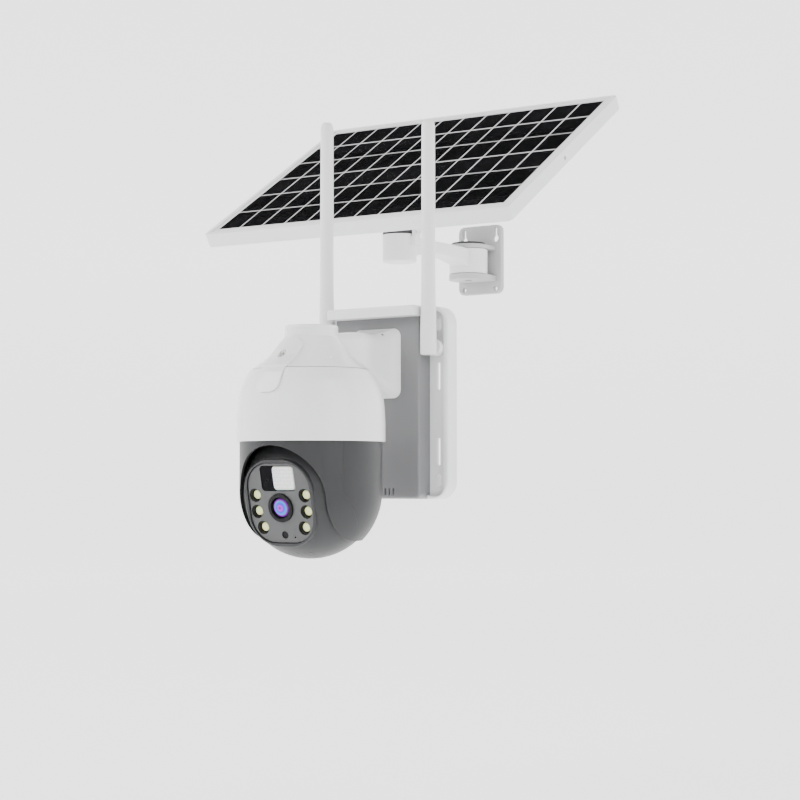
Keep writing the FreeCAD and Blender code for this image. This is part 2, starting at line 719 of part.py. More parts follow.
def led_lamps():
    out = []
    for sx in (-1, 1):
        for x, z in led_spots:
            c = rod(3.5, (sx * x, -38.0, z), (0, 1, 0), 1.6)
            c = soften(c, 0.8, lambda e: e.BoundBox.YMax < -37.9)
            out.append(at_tilt(c))
    return Part.makeCompound(out)


def lens_ring():
    s = rod(lens_r, (0, -face_d - 0.5, lens_z), (0, 1, 0), 6.0)
    s = soften(s, 0.7, lambda e: e.BoundBox.YMax < -face_d - 0.4)
    s = s.cut(rod(8.1, (0, -60, lens_z), (0, 1, 0), 40))
    return at_tilt(s)


def lens_glass():
    s = Part.makeSphere(15.0, V(0, -face_d + 15.0 - 0.4, lens_z))
    s = s.common(rod(8.0, (0, -60, lens_z), (0, 1, 0), 60 - 38.6))
    return at_tilt(s)


def lens_barrel():
    s = rod(7.6, (0, -38.4, lens_z), (0, 1, 0), 16.0)
    s = s.fuse(block(-9, 9, -24.0, -14.6, lens_z - 9, lens_z + 9))
    s = s.cut(rod(5.6, (0, -39, lens_z), (0, 1, 0), 22.0))
    s = s.cut(block(-5, 5, -18, -14, lens_z - 5, lens_z + 5))
    return at_tilt(s.removeSplitter())


def sensor_board():
    s = block(-16, 16, -14.6, -13.2, lens_z - 16, lens_z + 16)
    s = s.fuse(block(-4.5, 4.5, -15.8, -14.5, lens_z - 4.5, lens_z + 4.5))
    s = s.fuse(block(-13, -3, -13.3, -11.2, lens_z + 3, lens_z + 12))
    return at_tilt(s.removeSplitter())


def pir_lens():
    s = rounded(9.7, pir_z - 9.1, pir_z + 9.1, 3.0, -40.3, -36.6, pir_x)
    s = soften(s, 1.3, lambda e: e.BoundBox.YMax < -40.2)
    flange = rounded(10.8, pir_z - 10.0, pir_z + 10.0, 3.4, -38.6, -36.6, pir_x)
    keep = rounded(26.9, -28.5, 28.5, 18.6, -60, 0)
    s = s.fuse(flange.common(keep))
    s = s.cut(rounded(8.7, pir_z - 8.1, pir_z + 8.1, 2.2, -39.3, -36.0, pir_x))
    return at_tilt(s.removeSplitter())


def pir_sensor():
    s = rod(3.6, (pir_x, -38.9, pir_z), (0, 1, 0), 2.5)
    s = s.fuse(rod(4.2, (pir_x, -37.0, pir_z), (0, 1, 0), 0.6))
    return at_tilt(s.removeSplitter())


def light_sensor():
    s = rod(2.8, (0.5, -plate_front + 0.8, -24.3), (0, 1, 0), plate_front - 0.8 - 36.4)
    return at_tilt(soften(s, 0.5, lambda e: e.BoundBox.YMax < -plate_front + 0.9))


def at_swivel(shape):
    # From the arm's frame (origin on the wall swivel, arm along -Y) to the model
    shape.rotate(V(0, 0, 0), V(0, 0, 1), swivel_rest)
    shape.translate(V(swivel_x, swivel_y, 0))
    return shape


def wall_plate():
    y1 = panel_wall_y - swivel_y
    y0 = y1 - plate_t
    s = rounded(plate_w / 2, plate_z - plate_h / 2, plate_z + plate_h / 2, 6.5, y0, y1)
    s = soften(s, 1.2, edge_at(1, y0))
    for z0, z1, r in ((132.5, barrel_z0 - 0.3, 18.9), (barrel_z1 + 0.3, 166.7, 18.0)):
        lug = rod(r, (0, 0, z0), (0, 0, 1), z1 - z0).fuse(block(-r, r, 0, y0 + 0.1, z0, z1))
        s = s.fuse(lug.removeSplitter())
    s = s.removeSplitter()
    s = s.cut(rod(4.0 + run_gap, (0, 0, 130), (0, 0, 1), 50))
    for sx in (-1, 1):
        s = s.cut(rounded(2.1, 174.0, 186.2 - 0.5, 2.0, y0 - 1, y1 + 1, sx * 18.0))
        s = s.cut(rod(3.6, (sx * 18.0, y0 - 1, 174.6), (0, 1, 0), 10))
        s = s.cut(rod(2.4, (sx * 18.0, y0 - 1, 125.6), (0, 1, 0), 10))
    s.translate(V(swivel_x, swivel_y, 0))
    return s


def swivel_pin():
    s = rod(16.6, (0, 0, 166.7), (0, 0, 1), 2.2)
    s = soften(s, 1.2, edge_at(2, 168.9))
    s = s.fuse(rod(4.0, (0, 0, 133.0), (0, 0, 1), 33.8))
    s.translate(V(swivel_x, swivel_y, 0))
    return s.removeSplitter()


def panel_arm():
    barrel = rod(barrel_r, (0, 0, barrel_z0), (0, 0, 1), barrel_z1 - barrel_z0)
    barrel = soften(barrel, 1.0, lambda e: True)
    head = rod(head_r, (0, -arm_l, head_z0), (0, 0, 1), head_z1 - head_z0)
    head = soften(head, 1.8, edge_at(2, head_z0))
    top = 162.0
    e = [Part.makeLine(V(0, 0, top), V(0, -arm_l, top)), Part.makeLine(V(0, -arm_l, top), V(0, -arm_l, 139.5)),
         Part.Arc(V(0, -arm_l, 139.5), V(0, -62.0, 150.6), V(0, 0, 138.8)).toShape(),
         Part.makeLine(V(0, 0, 138.8), V(0, 0, top))]
    web = Part.Face(Part.Wire(e)).extrude(V(2 * arm_half, 0, 0))
    web.translate(V(-arm_half, 0, 0))
    web = soften(web, 1.6, lambda k: abs(k.BoundBox.YMax - k.BoundBox.YMin) > 60)
    ear = block(16.2, 19.6, -arm_l - 4.5, -arm_l + 4.5, 152.0, 172.0)
    ear = soften(ear, 3.0, lambda k: k.BoundBox.ZMin > 171.9 and abs(k.BoundBox.XMax - k.BoundBox.XMin) > 3)
    foot = block(8.0, 17.0, -arm_l - 4.5, -arm_l + 4.5, 152.0, 160.0)
    s = fuse([barrel, web, head, ear, foot])
    s = s.cut(rod(4.0 + run_gap, (0, 0, 130), (0, 0, 1), 50))
    s = s.cut(rod(6.0 + run_gap, (0, -arm_l, 142.0), (0, 0, 1), 40))
    s = s.cut(rod(1.55, (10, -arm_l, 167.0), (1, 0, 0), 15))
    return at_swivel(s)


def lock_screw():
    s = rod(1.5, (15.75, -arm_l, 167.0), (1, 0, 0), 5.0).fuse(rod(4.4, (19.7, -arm_l, 167.0), (1, 0, 0), 4.6))
    for k in range(8):
        t = math.radians(45.0 * k)
        s = s.cut(rod(0.9, (19.5, -arm_l + 4.6 * math.cos(t), 167.0 + 4.6 * math.sin(t)), (1, 0, 0), 6))
    return at_swivel(s.removeSplitter())


def tilt_fork():
    y = -arm_l
    s = rod(head_r, (0, y, head_z1 + 0.3), (0, 0, 1), 9.0)
    s = soften(s, 1.0, lambda e: True)
    s = s.fuse(rod(6.0, (0, y, 142.5), (0, 0, 1), 21.0))
    for sx in (-1, 1):
        x0, x1 = sorted((sx * 9.4, sx * 13.4))
        cheek = block(x0, x1, y - 8.0, y + 8.0, 168.0, hinge_z).fuse(rod(8.0, (x0, y, hinge_z), (1, 0, 0), x1 - x0))
        s = s.fuse(cheek.removeSplitter())
    s = s.removeSplitter()
    s = s.cut(rod(2.5, (-20, y, hinge_z), (1, 0, 0), 40))
    return at_swivel(s)


def hinge_bolt():
    y = -arm_l
    s = rod(2.45, (-17.5, y, hinge_z), (1, 0, 0), 31.0)
    s = s.fuse(rod(4.6, (13.4, y, hinge_z), (1, 0, 0), 3.2))
    nut = Part.Face(Part.makePolygon([V(-17.2, y + 5.0 * math.cos(math.radians(60 * k)),
                                        hinge_z + 5.0 * math.sin(math.radians(60 * k))) for k in range(7)]))
    s = s.fuse(nut.extrude(V(3.8, 0, 0)))
    s = s.cut(Part.Face(Part.makePolygon([V(17.0, y + 2.2 * math.cos(math.radians(60 * k)),
                                           hinge_z + 2.2 * math.sin(math.radians(60 * k))) for k in range(7)])
                        ).extrude(V(-2.0, 0, 0)))
    return at_swivel(s.removeSplitter())


def at_panel(shape):
    # From the panel's frame (origin in the middle of its underside, +Z out of the glass) to the model
    shape.rotate(V(0, 0, 0), V(1, 0, 0), panel_tilt)
    shape.translate(V(0, -arm_l + panel_fwd, panel_cz))
    return at_swivel(shape)


def hinge_in_panel():
    # The tilt hinge's place in the panel's frame, as (y, z)
    dy = -panel_fwd
    dz = hinge_z - panel_cz
    a = math.radians(panel_tilt)
    return (dy * math.cos(a) + dz * math.sin(a), -dy * math.sin(a) + dz * math.cos(a))


def panel_frame():
    hl, hw = panel_l / 2, panel_w / 2
    s = Part.makeBox(panel_l, panel_w, panel_t, V(-hl, -hw, 0))
    s = soften(s, 5.0, lambda e: abs(e.BoundBox.ZMax - e.BoundBox.ZMin) > panel_t - 1)
    s = soften(s, 0.9, edge_at(2, panel_t))
    lip = 5.0
    s = s.cut(block(-hl + lip, hl - lip, -hw + lip, hw - lip, panel_t - 1.4, panel_t + 1))
    s = s.cut(block(-hl + 9, hl - 9, -hw + 9, hw - 9, 3.0, panel_t + 1))
    s = s.cut(block(-hl + 2.4, hl - 2.4, -hw + 2.4, hw - 2.4, -1, panel_t - 3.4))
    s = s.cut(rod(1.9, (hl - 4, -hw * 0.05, panel_t * 0.42), (1, 0, 0), 8))
    return at_panel(s)


def panel_glass():
    hl, hw = panel_l / 2 - 5.1, panel_w / 2 - 5.1
    return at_panel(block(-hl, hl, -hw, hw, panel_t - 0.75, panel_t - 0.25))


def panel_backsheet():
    hl, hw = panel_l / 2 - 5.1, panel_w / 2 - 5.1
    return at_panel(block(-hl, hl, -hw, hw, panel_t - 1.4, panel_t - 1.0))


def solar_cells():
    x0 = -panel_l / 2 + 9.0
    y0 = -panel_w / 2 + 12.5
    px = (panel_l - 18.0) / cell_cols
    py = (panel_w - 22.0) / cell_rows
    out = []
    for i in range(cell_cols):
        for j in range(cell_rows):
            c = block(x0 + i * px + 0.9, x0 + (i + 1) * px - 0.9, y0 + j * py + 0.3, y0 + (j + 1) * py - 0.3,
                      panel_t - 1.0, panel_t - 0.75)
            out.append(at_panel(c))
    return Part.makeCompound(out)


def panel_back():
    # Closing plate pressed into the underside of the frame
    hl, hw = panel_l / 2 - 2.45, panel_w / 2 - 2.45
    s = block(-hl, hl, -hw, hw, 0.6, 2.6)
    hy = hinge_in_panel()[0]
    for x, y in mount_screw_spots():
        s = s.cut(rod(1.7, (x, y + hy, -1), (0, 0, 1), 6))
    s = s.cut(rod(3.0, (0, 70, -1), (0, 0, 1), 6))
    return at_panel(s)


def mount_screw_spots():
    return [(sx * 22.0, sy * 17.0) for sx in (-1, 1) for sy in (-1, 1)]


def mount_plate():
    hy, hz = hinge_in_panel()
    s = block(-28, 28, hy - 23, hy + 23, -1.9, 0.6)
    s = soften(s, 5.0, lambda e: abs(e.BoundBox.ZMax - e.BoundBox.ZMin) > 2.4)
    for sx in (-1, 1):
        x0, x1 = sorted((sx * 5.2, sx * 9.1))
        lug = block(x0, x1, hy - 8.0, hy + 8.0, hz, -1.8).fuse(rod(8.0, (x0, hy, hz), (1, 0, 0), x1 - x0))
        s = s.fuse(lug.removeSplitter())
    s = s.removeSplitter()
    s = s.cut(rod(2.45 + run_gap, (-20, hy, hz), (1, 0, 0), 40))
    for x, y in mount_screw_spots():
        s = s.cut(rod(1.7, (x, y + hy, -3), (0, 0, 1), 6))
    return at_panel(s)


def mount_screws():
    hy = hinge_in_panel()[0]
    out = []
    for x, y in mount_screw_spots():
        s = rod(3.0, (x, y + hy, -3.7), (0, 0, 1), 1.8).fuse(rod(1.6, (x, y + hy, -2.0), (0, 0, 1), 6.5))
        for a in (0, 90):
            b = block(-1.9, 1.9, -0.4, 0.4, -4.5, -2.8)
            b.rotate(V(0, 0, 0), V(0, 0, 1), a)
            b.translate(V(x, y + hy, 0))
            s = s.cut(b)
        out.append(at_panel(s.removeSplitter()))
    return Part.makeCompound(out)


def junction_box():
    s = block(-32, 32, 52, 88, -11.4, 0.6)
    s = soften(s, 4.0, lambda e: abs(e.BoundBox.ZMax - e.BoundBox.ZMin) > 11)
    s = soften(s, 1.6, lambda e: e.BoundBox.ZMax < -11.3)
    s = s.cut(block(-30, 30, 54, 86, -9.4, 0.7))
    s = s.cut(rod(4.0, (0, 50, -5.4), (0, 1, 0), 5))
    return at_panel(s)


def cable_gland():
    s = rod(3.95, (0, 50.5, -5.4), (0, 1, 0), 6.0)
    nut = Part.Face(Part.makePolygon([V(5.6 * math.cos(math.radians(60 * k)), 44.6,
                                        -5.4 + 5.6 * math.sin(math.radians(60 * k))) for k in range(7)]))
    s = s.fuse(nut.extrude(V(0, 7.3, 0)))
    s = s.fuse(rod(4.3, (0, 40.6, -5.4), (0, 1, 0), 4.2))
    s = s.cut(rod(2.2, (0, 39, -5.4), (0, 1, 0), 20))
    return at_panel(s.removeSplitter())


save("box_back", box_back())
save("box_front", box_front())
save("box_gasket", box_gasket())
save("box_screws", screws_y(post_spots(), -0.2, 2.7, 2.0, 1.5, 11.0))
save("visor", visor())
save("battery_cells", battery_cells())
save("battery_holder", battery_holder())
save("power_board", power_board())
save("solar_inlet", solar_inlet())
save("antenna_base_left", antenna_base(-1))
save("antenna_base_right", antenna_base(1))
save("antenna_left", antenna(-1))
save("antenna_right", antenna(1))
save("neck_arm", neck_arm())
save("neck_cap", neck_cap())
save("arm_screws", screws_y(arm_screw_spots(), -front_d + wall + 2.0, 2.9, 2.0, 1.5, 12.0))
tongue_y = dome_y - 31.6
tongue = screws_y([(0.0, 33.0)], 0.0, 2.7, 2.2, 1.3, 6.0)
tongue.rotate(V(0, 0, 33.0), V(0, 0, 1), 180)
tongue.translate(V(0, tongue_y - 2.2, 0))
save("tongue_screw", tongue)
save("dome_cap", dome_cap())
save("cap_screws", down_screws(ring_spots(33.0, 90), 18.3, 2.7, 1.8, 1.25, 7.5))
save("pan_base", pan_base())
save("pan_base_screws", down_screws(ring_spots(base_post_r, 30), 0.4, 2.7, 1.6, 1.25, 9.0))
save("pan_bearing", pan_bearing())
save("rotor_front", rotor_front())
save("rotor_rear", rotor_rear())
save("rotor_deck", rotor_deck())
save("rotor_screws", rotor_screws())
save("pan_motor", pan_motor())
save("hub_screw", hub_screw())
save("main_board", main_board())
save("tilt_motor", tilt_motor())
save("tilt_pin", tilt_pin())
save("module_front", module_front())
save("module_rear", module_rear())
save("module_screws", module_screws())
save("face_plate", face_plate())
save("led_board", led_board())
save("led_cups", led_cups())
save("led_lamps", led_lamps())
save("lens_ring", lens_ring())
save("lens_glass", lens_glass())
save("lens_barrel", lens_barrel())
save("sensor_board", sensor_board())
save("pir_lens", pir_lens())
save("pir_sensor", pir_sensor())
save("light_sensor", light_sensor())
save("wall_plate", wall_plate())
save("swivel_pin", swivel_pin())
save("panel_arm", panel_arm())
save("lock_screw", lock_screw())
save("tilt_fork", tilt_fork())
save("hinge_bolt", hinge_bolt())
save("mount_plate", mount_plate())
save("mount_screws", mount_screws())
save("panel_frame", panel_frame())
save("panel_back", panel_back())
save("panel_backsheet", panel_backsheet())
save("solar_cells", solar_cells())
save("panel_glass", panel_glass())
save("junction_box", junction_box())
save("cable_gland", cable_gland())
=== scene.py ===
import bpy
import math
from mathutils import Euler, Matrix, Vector

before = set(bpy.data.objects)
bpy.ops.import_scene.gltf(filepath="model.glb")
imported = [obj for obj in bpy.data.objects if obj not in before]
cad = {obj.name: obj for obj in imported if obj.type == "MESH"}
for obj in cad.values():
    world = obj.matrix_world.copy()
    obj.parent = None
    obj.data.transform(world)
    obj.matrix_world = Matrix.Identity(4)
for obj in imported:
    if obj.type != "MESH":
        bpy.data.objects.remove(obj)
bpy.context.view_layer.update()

# ---------------------------------------------------------------- battery box
# Two ABS mouldings screwed together from behind: a white tray with screw and strap slots in
# its flanges, and a grey raised cover, its grey partly its own colour and partly painted shade of
# its front face. Both are fine-sparked in the tool and lightly glossy.


def group_tree(name, inputs, outputs):
    # An empty shader node group with named sockets, and its input and output nodes
    tree = bpy.data.node_groups.new(name, "ShaderNodeTree")
    for label, kind, default in inputs:
        s = tree.interface.new_socket(name=label, in_out="INPUT", socket_type=kind)
        if default is not None:
            s.default_value = default
    for label, kind in outputs:
        tree.interface.new_socket(name=label, in_out="OUTPUT", socket_type=kind)
    return tree, tree.nodes.new("NodeGroupInput"), tree.nodes.new("NodeGroupOutput")


def add(tree, kind, values=(), **settings):
    # A node with settings, and (socket, value) pairs that are constants or links
    n = tree.nodes.new(kind)
    for key, value in settings.items():
        setattr(n, key, value)
    for socket, value in values:
        if isinstance(value, bpy.types.NodeSocket):
            tree.links.new(value, n.inputs[socket])
        else:
            n.inputs[socket].default_value = value
    return n


def moulded_surface():
    # Tool spark texture, slow tone drift and softened edges of a moulding
    t, i, o = group_tree("moulded_surface", [
        ("Colour", "NodeSocketColor", (0.8, 0.8, 0.8, 1)), ("Tone", "NodeSocketFloat", 0.03),
        ("Roughness", "NodeSocketFloat", 0.4), ("Grain Scale", "NodeSocketFloat", 1500.0),
        ("Grain Depth", "NodeSocketFloat", 0.05), ("Edge Radius", "NodeSocketFloat", 0.0004)],
        [("Colour", "NodeSocketColor"), ("Roughness", "NodeSocketFloat"), ("Normal", "NodeSocketVector")])
    at = add(t, "ShaderNodeTexCoord").outputs["Object"]
    slow = add(t, "ShaderNodeTexNoise", [("Vector", at), ("Scale", 22.0), ("Detail", 3.0)])
    fine = add(t, "ShaderNodeTexNoise", [("Vector", at), ("Scale", i.outputs["Grain Scale"]),
                                         ("Detail", 2.0)])
    centre = add(t, "ShaderNodeMath", [(0, slow.outputs["Fac"]), (1, 0.5)], operation="SUBTRACT")
    drift = add(t, "ShaderNodeMath", [(0, centre.outputs[0]), (1, i.outputs["Tone"]), (2, 1.0)],
                operation="MULTIPLY_ADD")
    shade = add(t, "ShaderNodeHueSaturation", [("Value", drift.outputs[0]), ("Color", i.outputs["Colour"])])
    rough = add(t, "ShaderNodeMath", [(0, centre.outputs[0]), (1, 0.16), (2, i.outputs["Roughness"])],
                operation="MULTIPLY_ADD")
    edge = add(t, "ShaderNodeBevel", [("Radius", i.outputs["Edge Radius"])], samples=4)
    bump = add(t, "ShaderNodeBump", [("Strength", i.outputs["Grain Depth"]), ("Distance", 0.0004),
                                     ("Height", fine.outputs["Fac"]), ("Normal", edge.outputs["Normal"])])
    t.links.new(shade.outputs[0], o.inputs["Colour"])
    t.links.new(rough.outputs[0], o.inputs["Roughness"])
    t.links.new(bump.outputs[0], o.inputs["Normal"])
    return t


moulding = moulded_surface()


def new_material(name):
    m = bpy.data.materials.new(name)
    m.use_nodes = True
    t = m.node_tree
    t.nodes.clear()
    out = t.nodes.new("ShaderNodeOutputMaterial")
    p = t.nodes.new("ShaderNodeBsdfPrincipled")
    t.links.new(p.outputs[0], out.inputs["Surface"])
    return m, t, p


def moulded(name, colour, rough=0.4, grain=1500.0, depth=0.05, tone=0.04, **constants):
    # Principled material over the moulded surface group; constants go straight on its sockets
    m, t, p = new_material(name)
    g = t.nodes.new("ShaderNodeGroup")
    g.node_tree = moulding
    g.inputs["Colour"].default_value = (*colour, 1)
    g.inputs["Roughness"].default_value = rough
    g.inputs["Grain Scale"].default_value = grain
    g.inputs["Grain Depth"].default_value = depth
    g.inputs["Tone"].default_value = tone
    t.links.new(g.outputs["Colour"], p.inputs["Base Color"])
    t.links.new(g.outputs["Roughness"], p.inputs["Roughness"])
    t.links.new(g.outputs["Normal"], p.inputs["Normal"])
    for key, value in constants.items():
        p.inputs[key.replace("_", " ")].default_value = value
    return m


def finish_cad(material, slot, *names):
    # Gives CAD nodes their material
    for n in names:
        o = cad[n]
        o.data.materials.clear()
        o.data.materials.append(material)


white_abs = moulded("white_abs", (0.83, 0.835, 0.84), 0.32, 1700, 0.04, 0.03, Coat_Weight=0.12,
                    Coat_Roughness=0.2)
# The cover's grey is partly its own colour and partly painted shade on its front face.
grey_abs_and_painted_shade = moulded("grey_abs_and_painted_shade", (0.19, 0.192, 0.196), 0.42, 1400, 0.09, 0.05)
black_nylon = moulded("black_nylon", (0.018, 0.018, 0.02), 0.45, 1300, 0.08, 0.2)
seal_rubber = moulded("seal_rubber", (0.012, 0.012, 0.012), 0.72, 900, 0.12, 0.2)
zinc = moulded("zinc_steel", (0.62, 0.62, 0.6), 0.3, 2600, 0.05, 0.1, Metallic=1.0)
finish_cad(white_abs, "white_plastic", "box_back", "visor", "antenna_base_left", "antenna_base_right")
finish_cad(grey_abs_and_painted_shade, "grey_cover", "box_front")
finish_cad(seal_rubber, "black_rubber", "box_gasket", "solar_inlet")
finish_cad(zinc, "zinc_steel", "box_screws", "arm_screws", "tongue_screw", "cap_screws",
           "pan_base_screws", "pan_bearing", "rotor_screws", "hub_screw", "tilt_pin", "module_screws",
           "hinge_bolt", "mount_screws")
finish_cad(black_nylon, "black_plastic", "battery_holder", "pan_base", "rotor_deck")

# ---------------------------------------------------------------- cells and circuit boards
# Four cylindrical lithium cells in blue shrink film, held in a nylon tray, and green fibre-glass
# boards with pale printed marks, copper tracks under the mask and black component bodies.


def cell_film():
    m, t, p = new_material("cell_film")
    at = add(t, "ShaderNodeTexCoord").outputs["Object"]
    z = add(t, "ShaderNodeSeparateXYZ", [(0, at)]).outputs["Z"]
    band = add(t, "ShaderNodeValToRGB", [("Fac", add(t, "ShaderNodeMapRange", [
        ("Value", z), ("From Min", -0.064), ("From Max", 0.001)]).outputs[0])])
    r = band.color_ramp
    r.elements[0].position, r.elements[0].color = 0.0, (0.02, 0.02, 0.02, 1)
    r.elements[1].position, r.elements[1].color = 1.0, (0.75, 0.75, 0.72, 1)
    blue, label = (0.03, 0.16, 0.36, 1), (0.8, 0.8, 0.78, 1)
    for pos, colour in ((0.03, blue), (0.9, blue), (0.93, label)):
        e = r.elements.new(pos)
        e.color = colour
    t.links.new(band.outputs[0], p.inputs["Base Color"])
    wrinkle = add(t, "ShaderNodeTexNoise", [("Vector", at), ("Scale", 180.0)])
    bump = add(t, "ShaderNodeBump", [("Strength", 0.15), ("Distance", 0.0005),
                                     ("Height", wrinkle.outputs["Fac"])])
    t.links.new(bump.outputs[0], p.inputs["Normal"])
    p.inputs["Roughness"].default_value = 0.28
    return m


def board():
    m, t, p = new_material("circuit_board")
    at = add(t, "ShaderNodeTexCoord").outputs["Object"]
    tracks = add(t, "ShaderNodeTexBrick", [
        ("Vector", at), ("Scale", 260.0), ("Color1", (0.012, 0.12, 0.045, 1)),
        ("Color2", (0.02, 0.18, 0.07, 1)), ("Mortar", (0.05, 0.3, 0.12, 1)), ("Mortar Size", 0.03)])
    pads = add(t, "ShaderNodeTexVoronoi", [("Vector", at), ("Scale", 420.0)])
    dot = add(t, "ShaderNodeMath", [(0, pads.outputs["Distance"]), (1, 0.16)], operation="LESS_THAN")
    mix = add(t, "ShaderNodeMix", [(0, dot.outputs[0]), (6, tracks.outputs["Color"]),
                                   (7, (0.62, 0.55, 0.35, 1))], data_type="RGBA")
    t.links.new(mix.outputs[2], p.inputs["Base Color"])
    p.inputs["Roughness"].default_value = 0.35
    return m


finish_cad(cell_film(), "cell_wrap", "battery_cells")
finish_cad(board(), "circuit_board", "power_board", "main_board", "led_board", "sensor_board")

# ---------------------------------------------------------------- antennas
# Two whip antennas in satin white polypropylene sleeves, moulded in one piece over the wire
# and pinned to hinge bases on the flange.
sleeve = moulded("antenna_sleeve", (0.80, 0.80, 0.80), 0.38, 1900, 0.035, 0.03)
finish_cad(sleeve, "antenna_white", "antenna_left", "antenna_right")

# ---------------------------------------------------------------- neck, arm and dome cap
# Glossy white ABS. The arm and bell-shaped neck are one moulding, screwed to the box from inside.
# The cap hangs under the neck and shades the head.
gloss_white = moulded("gloss_white_abs", (0.86, 0.862, 0.865), 0.22, 2200, 0.015, 0.02, Coat_Weight=0.3,
                      Coat_Roughness=0.12)
finish_cad(gloss_white, "white_plastic", "neck_arm", "neck_cap", "dome_cap")

# ---------------------------------------------------------------- pan rotor
# Dark grey satin ABS shell in two mouldings, turned by a geared motor above its deck. The lens
# unit tilts in the arched opening at the front.
satin_grey = moulded("satin_dark_grey", (0.030, 0.0305, 0.032), 0.42, 1500, 0.05, 0.05,
                     Specular_IOR_Level=0.3)
motor_steel = moulded("motor_can_steel", (0.55, 0.55, 0.56), 0.34, 3000, 0.04, 0.08, Metallic=1.0)
finish_cad(satin_grey, "grey_shell", "rotor_front", "rotor_rear")
finish_cad(motor_steel, "motor_can", "pan_motor", "tilt_motor", "pir_sensor")

# ---------------------------------------------------------------- lens unit
# The tilting ball: two grey half shells with a rounded square bezel, drain slots under the bezel
# dented in and coloured with painted shade, and a satin grey plate that carries the lamps, the motion sensor
# and the lens.
tilt_at = Vector((0.0, -0.1095, -0.0693))
tilt_turn = Euler((math.radians(13.0), 0.0, math.radians(3.0)))


def unit_coords(t):
    # Coordinates in the lens unit's own frame: X across, Y into the unit, Z up its face
    at = add(t, "ShaderNodeTexCoord").outputs["Object"]
    m = add(t, "ShaderNodeMapping", [("Vector", at), ("Location", tilt_at), ("Rotation", tilt_turn)],
            vector_type="TEXTURE")
    return add(t, "ShaderNodeSeparateXYZ", [(0, m.outputs[0])])


def calc(t, operation, *values):
    return add(t, "ShaderNodeMath", [(k, v) for k, v in enumerate(values)], operation=operation).outputs[0]


def slot_marks():
    # Mask of slanted slots in a strip around u = 0, v = 0: 1 in a slot
    t, i, o = group_tree("slot_marks", [
        ("U", "NodeSocketFloat", 0.0), ("V", "NodeSocketFloat", 0.0), ("Pitch", "NodeSocketFloat", 0.005),
        ("Half Span", "NodeSocketFloat", 0.015), ("Half Height", "NodeSocketFloat", 0.004)],
        [("Mask", "NodeSocketFloat")])
    lean = calc(t, "MULTIPLY_ADD", i.outputs["V"], 0.6, i.outputs["U"])
    cell = calc(t, "DIVIDE", lean, i.outputs["Pitch"])
    off = calc(t, "ABSOLUTE", calc(t, "SUBTRACT", calc(t, "FRACT", calc(t, "ADD", cell, 100.5)), 0.5))
    line = calc(t, "LESS_THAN", off, 0.2)
    span = calc(t, "LESS_THAN", calc(t, "ABSOLUTE", i.outputs["U"]), i.outputs["Half Span"])
    high = calc(t, "LESS_THAN", calc(t, "ABSOLUTE", i.outputs["V"]), i.outputs["Half Height"])
    t.links.new(calc(t, "MULTIPLY", calc(t, "MULTIPLY", line, span), high), o.inputs["Mask"])
    return t


def shell_with_slots():
    m = satin_grey.copy()
    m.name = "satin_grey_slotted"
    t = m.node_tree
    p = next(n for n in t.nodes if n.type == "BSDF_PRINCIPLED")
    g = next(n for n in t.nodes if n.type == "GROUP")
    c = unit_coords(t)
    s = t.nodes.new("ShaderNodeGroup")
    s.node_tree = slot_marks()
    t.links.new(c.outputs["X"], s.inputs["U"])
    t.links.new(calc(t, "ADD", c.outputs["Z"], 0.0432), s.inputs["V"])
    s.inputs["Half Height"].default_value = 0.0032
    front = calc(t, "LESS_THAN", c.outputs["Y"], -0.008)
    mask = calc(t, "MULTIPLY", s.outputs["Mask"], front)
    # Painted shade: the slots are coloured almost black, standing for the shade inside them.
    dark = add(t, "ShaderNodeMix", [(0, mask), (6, g.outputs["Colour"]), (7, (0.004, 0.004, 0.004, 1))],
               data_type="RGBA")
    t.links.new(dark.outputs[2], p.inputs["Base Color"])
    dent = add(t, "ShaderNodeBump", [("Strength", 1.0), ("Distance", 0.0012),
                                     ("Height", calc(t, "SUBTRACT", 1.0, mask)),
                                     ("Normal", g.outputs["Normal"])])
    t.links.new(dent.outputs[0], p.inputs["Normal"])
    return m


finish_cad(shell_with_slots(), "grey_shell", "module_front", "module_rear")


def plate_with_window():
    # Grey plate, with painted shade: black in the recess round the motion lens, inside its holes and on its
    # back
    m = moulded("plate_grey", (0.075, 0.076, 0.078), 0.4, 1800, 0.03, 0.03)
    t = m.node_tree
    p = next(n for n in t.nodes if n.type == "BSDF_PRINCIPLED")
    g = next(n for n in t.nodes if n.type == "GROUP")
    c = unit_coords(t)
    half_wide, half_high, middle_up = 0.01525, 0.00975, 0.0188
    below_front, recess_floor = -0.0405, -0.0401
    across = calc(t, "LESS_THAN", calc(t, "ABSOLUTE", c.outputs["X"]), half_wide)
    up = calc(t, "ABSOLUTE", calc(t, "SUBTRACT", c.outputs["Z"], middle_up))
    inside = calc(t, "MULTIPLY", across, calc(t, "LESS_THAN", up, half_high))
    deep = calc(t, "GREATER_THAN", c.outputs["Y"], below_front)
    behind = calc(t, "GREATER_THAN", c.outputs["Y"], recess_floor)
    mask = calc(t, "MAXIMUM", calc(t, "MULTIPLY", inside, deep), behind)
    # Painted shade: the recess, the holes and the back are coloured black, with their specular turned down.
    black = add(t, "ShaderNodeMix", [(0, mask), (6, g.outputs["Colour"]), (7, (0.006, 0.006, 0.007, 1))],
                data_type="RGBA")
    t.links.new(black.outputs[2], p.inputs["Base Color"])
    t.links.new(calc(t, "MULTIPLY_ADD", mask, -0.36, 0.4), p.inputs["Specular IOR Level"])
    return m


plate_mat = plate_with_window()
finish_cad(plate_mat, "plate_grey", "face_plate")
black_metal = moulded("black_anodised", (0.01, 0.01, 0.011), 0.35, 2500, 0.03, 0.1, Specular_IOR_Level=0.15)
finish_cad(black_metal, "lens_black", "lens_ring", "lens_barrel", "light_sensor")
cup = moulded("reflector_cup", (0.02, 0.02, 0.02), 0.25, 2500, 0.01, 0.02, Specular_IOR_Level=0.15)
finish_cad(cup, "reflector", "led_cups")


